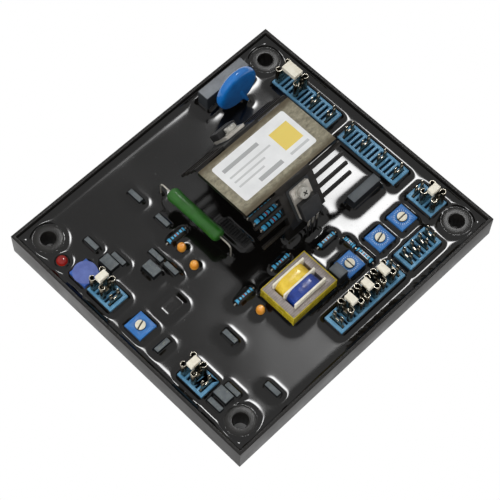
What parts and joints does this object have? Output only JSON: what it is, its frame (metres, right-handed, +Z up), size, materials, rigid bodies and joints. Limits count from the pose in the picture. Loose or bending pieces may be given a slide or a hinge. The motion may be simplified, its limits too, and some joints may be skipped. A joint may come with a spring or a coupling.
{
  "type": "automatic voltage regulator",
  "caption": "Potted generator voltage regulator in a shallow tray with corner mounting holes, a slotted heatsink, push-on terminal blocks with links and slotted trimmers.",
  "frame": {"origin": "centre of the tray's flat underside", "axes": "+Z up out of the tray, +X along the long side of the tray, +Y along its short side"},
  "size_m": [0.15, 0.135, 0.0411],
  "materials": {
    "tray_plastic": "satin",
    "board_laminate": "satin",
    "potting_resin": "glossy",
    "anodised_aluminium": "satin",
    "paper_label": "matt",
    "silicone_pad": "matt",
    "tinned_metal": "satin",
    "moulded_black": "satin",
    "zinc_plated_steel": "polished",
    "green_lacquer": "glossy",
    "blue_epoxy": "glossy",
    "capacitor_case": "satin",
    "grey_case": "satin",
    "blue_lacquer": "glossy",
    "orange_epoxy": "glossy",
    "red_lens": "glossy",
    "trimmer_blue": "satin",
    "seal_sticker": "satin",
    "black_epoxy": "satin",
    "yellow_tape": "satin",
    "laminated_steel": "satin",
    "bobbin_nylon": "satin",
    "blue_tape": "satin",
    "tinned_brass": "satin",
    "sleeve_nylon": "satin",
    "rotor_ivory": "satin",
    "terminal_blue": "satin"
  },
  "bodies": {
    "regulator": {"bead_capacitors": "orange_epoxy", "block_a": "terminal_blue", "block_a_blades": "tinned_brass", "block_b": "terminal_blue", "block_b_blades": "tinned_brass", "block_c": "terminal_blue", "block_c_blades": "tinned_brass", "block_d": "terminal_blue", "block_d_blades": "tinned_brass", "block_e": "terminal_blue", "block_e_blades": "tinned_brass", "block_f": "terminal_blue", "block_f_blades": "tinned_brass", "block_g": "terminal_blue", "block_g_blades": "tinned_brass", "blue_winding": "blue_tape", "circuit_board": "board_laminate", "covered_capacitor": "potting_resin", "device_screws": "zinc_plated_steel", "device_washers": "zinc_plated_steel", "film_resistors": "blue_lacquer", "front_device_body": "moulded_black", "front_device_leads": "tinned_metal", "front_insulator": "silicone_pad", "heatsink": "anodised_aluminium", "indicator_lamp": "red_lens", "label": "paper_label", "large_film_capacitor": "capacitor_case", "link_contacts": "tinned_brass", "link_sleeves": "sleeve_nylon", "long_film_capacitor": "capacitor_case", "medium_capacitors": "grey_case", "potting_resin": "potting_resin", "power_resistor_body": "green_lacquer", "power_resistor_leads": "tinned_metal", "rear_device_body": "moulded_black", "rear_device_leads": "tinned_metal", "rear_insulator": "silicone_pad", "resistor_network": "black_epoxy", "seal_sticker": "seal_sticker", "sealed_trimmer_body": "trimmer_blue", "small_capacitors": "grey_case", "square_film_capacitor": "capacitor_case", "transformer_band": "yellow_tape", "transformer_bobbin": "bobbin_nylon", "transformer_core": "laminated_steel", "tray": "tray_plastic", "trimmer_1_body": "trimmer_blue", "trimmer_2_body": "trimmer_blue", "trimmer_3_body": "trimmer_blue", "trimmer_4_body": "trimmer_blue", "varistor": "blue_epoxy", "varistor_leads": "tinned_metal", "yellow_winding": "yellow_tape"},
    "rotor_1": {"trimmer_1_rotor": "rotor_ivory"},
    "rotor_2": {"trimmer_2_rotor": "rotor_ivory"},
    "rotor_3": {"trimmer_3_rotor": "rotor_ivory"},
    "rotor_4": {"trimmer_4_rotor": "rotor_ivory"}
  },
  "joints": [
    {"name": "trimmer_1_turn", "type": "hinge", "parent": "regulator", "child": "rotor_1", "pos_m": [0.0482, -0.0398, 0.0124], "axis": [0, 0, 1], "range_deg": [-140, 140]},
    {"name": "trimmer_2_turn", "type": "hinge", "parent": "regulator", "child": "rotor_2", "pos_m": [0.0344, -0.04, 0.0124], "axis": [0, 0, 1], "range_deg": [-140, 140]},
    {"name": "trimmer_3_turn", "type": "hinge", "parent": "regulator", "child": "rotor_3", "pos_m": [0.0166, -0.0395, 0.0124], "axis": [0, 0, 1], "range_deg": [-140, 140]},
    {"name": "trimmer_4_turn", "type": "hinge", "parent": "regulator", "child": "rotor_4", "pos_m": [-0.0643, 0.0004, 0.0124], "axis": [0, 0, 1], "range_deg": [-140, 140]}
  ]
}
